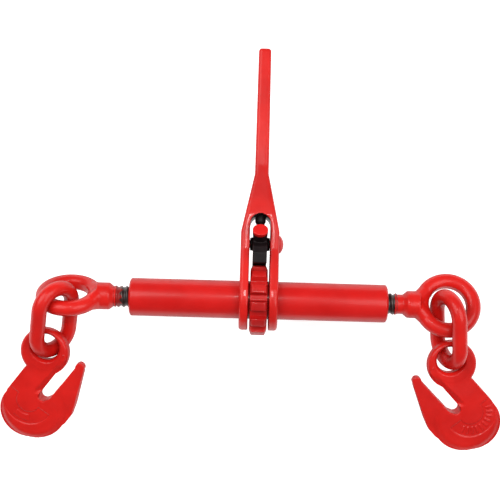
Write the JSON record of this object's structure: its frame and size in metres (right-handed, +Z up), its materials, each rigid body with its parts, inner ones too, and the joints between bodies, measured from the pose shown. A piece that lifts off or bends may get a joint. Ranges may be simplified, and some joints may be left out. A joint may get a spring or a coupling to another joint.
{
  "type": "load binder chain",
  "caption": "Ratchet load binder: threaded barrel turned by a forked handle with pawl and gear, screw eyes, short links and grab hooks for tensioning tie-down chain.",
  "frame": {"origin": "under the middle of the whole binder's box, on the surface that it lies on", "axes": "+X along the barrel towards the screw with the right-hand thread, +Y along the handle, +Z up"},
  "size_m": [0.4914, 0.39, 0.0722],
  "materials": {
    "red_paint": "gloss red enamel over forged steel",
    "black_steel": "oiled black oxide",
    "plain_steel": "plain machined, oiled",
    "spring_steel": "drawn spring steel"
  },
  "bodies": {
    "barrel": {"barrel_tube": "red_paint", "left_end_nut": "red_paint", "right_end_nut": "red_paint", "ratchet_gear": "red_paint", "gear_roll_pin": "spring_steel"},
    "handle": {"handle": "red_paint", "pawl_pin": "red_paint", "plunger_spring": "spring_steel"},
    "pawl": {"pawl": "black_steel"},
    "plunger": {"plunger": "black_steel"},
    "left_stop": {"left_stop_washer": "plain_steel"},
    "right_stop": {"right_stop_washer": "plain_steel"},
    "left_screw": {"left_screw_eye": "red_paint", "left_stop_pin": "spring_steel"},
    "right_screw": {"right_screw_eye": "red_paint", "right_stop_pin": "spring_steel"},
    "left_link": {"left_link": "red_paint"},
    "right_link": {"right_link": "red_paint"},
    "left_hook": {"left_grab_hook": "red_paint"},
    "right_hook": {"right_grab_hook": "red_paint"}
  },
  "joints": [
    {"name": "handle_turn", "type": "hinge", "parent": "barrel", "child": "handle", "pos_m": [0.0046, -0.0514, 0.03375], "axis": [1, 0, 0], "continuous": true},
    {"name": "pawl_flip", "type": "hinge", "parent": "handle", "child": "pawl", "pos_m": [0.0046, 0.00263, 0.02831], "axis": [1, 0, 0], "range_deg": [0, 24.8], "stiffness_Nm_per_rad": 0.02, "springref_deg": -11.46},
    {"name": "plunger_press", "type": "slide", "parent": "handle", "child": "plunger", "axis": [0, 0.995, -0.1002], "range_m": [0, 0.003], "stiffness_N_per_m": 1500, "springref_m": -0.002, "deforming": ["plunger_spring"]},
    {"name": "left_screw_turn", "type": "hinge", "parent": "left_stop", "child": "left_screw", "pos_m": [0.0046, -0.0514, 0.03375], "axis": [1, 0, 0], "range_deg": [-1080, 5040]},
    {"name": "left_screw_feed", "type": "slide", "parent": "barrel", "child": "left_stop", "axis": [-1, 0, 0], "range_m": [-0.01525, 0.07113]},
    {"name": "right_screw_turn", "type": "hinge", "parent": "right_stop", "child": "right_screw", "pos_m": [0.0046, -0.0514, 0.03375], "axis": [1, 0, 0], "range_deg": [-1080.2, 5040.2]},
    {"name": "right_screw_feed", "type": "slide", "parent": "barrel", "child": "right_stop", "axis": [1, 0, 0], "range_m": [-0.01525, 0.07113]},
    {"name": "left_link_swing", "type": "hinge", "parent": "left_screw", "child": "left_link", "pos_m": [-0.19065, -0.06172, 0.05229], "axis": [-0.8572, 0.2505, -0.45], "range_deg": [-35, 80]},
    {"name": "left_hook_swing", "type": "hinge", "parent": "left_link", "child": "left_hook", "pos_m": [-0.1978, -0.10112, 0.03491], "axis": [-0.1374, -0.2547, 0.9572], "range_deg": [-60, 50]},
    {"name": "right_link_swing", "type": "hinge", "parent": "right_screw", "child": "right_link", "pos_m": [0.18926, -0.07446, 0.04249], "axis": [0.9962, 0.0815, -0.0309], "range_deg": [-30, 34]},
    {"name": "right_hook_swing", "type": "hinge", "parent": "right_link", "child": "right_hook", "pos_m": [0.19106, -0.10302, 0.03085], "axis": [0.0802, -0.2293, 0.97], "range_deg": [-40, 60]}
  ],
  "couplings": [
    {"joint": "left_screw_feed", "follows": "left_screw_turn", "m_per_rad": 0.00080851},
    {"joint": "right_screw_turn", "follows": "left_screw_turn", "ratio": 1},
    {"joint": "right_screw_feed", "follows": "left_screw_turn", "m_per_rad": 0.00080851}
  ]
}
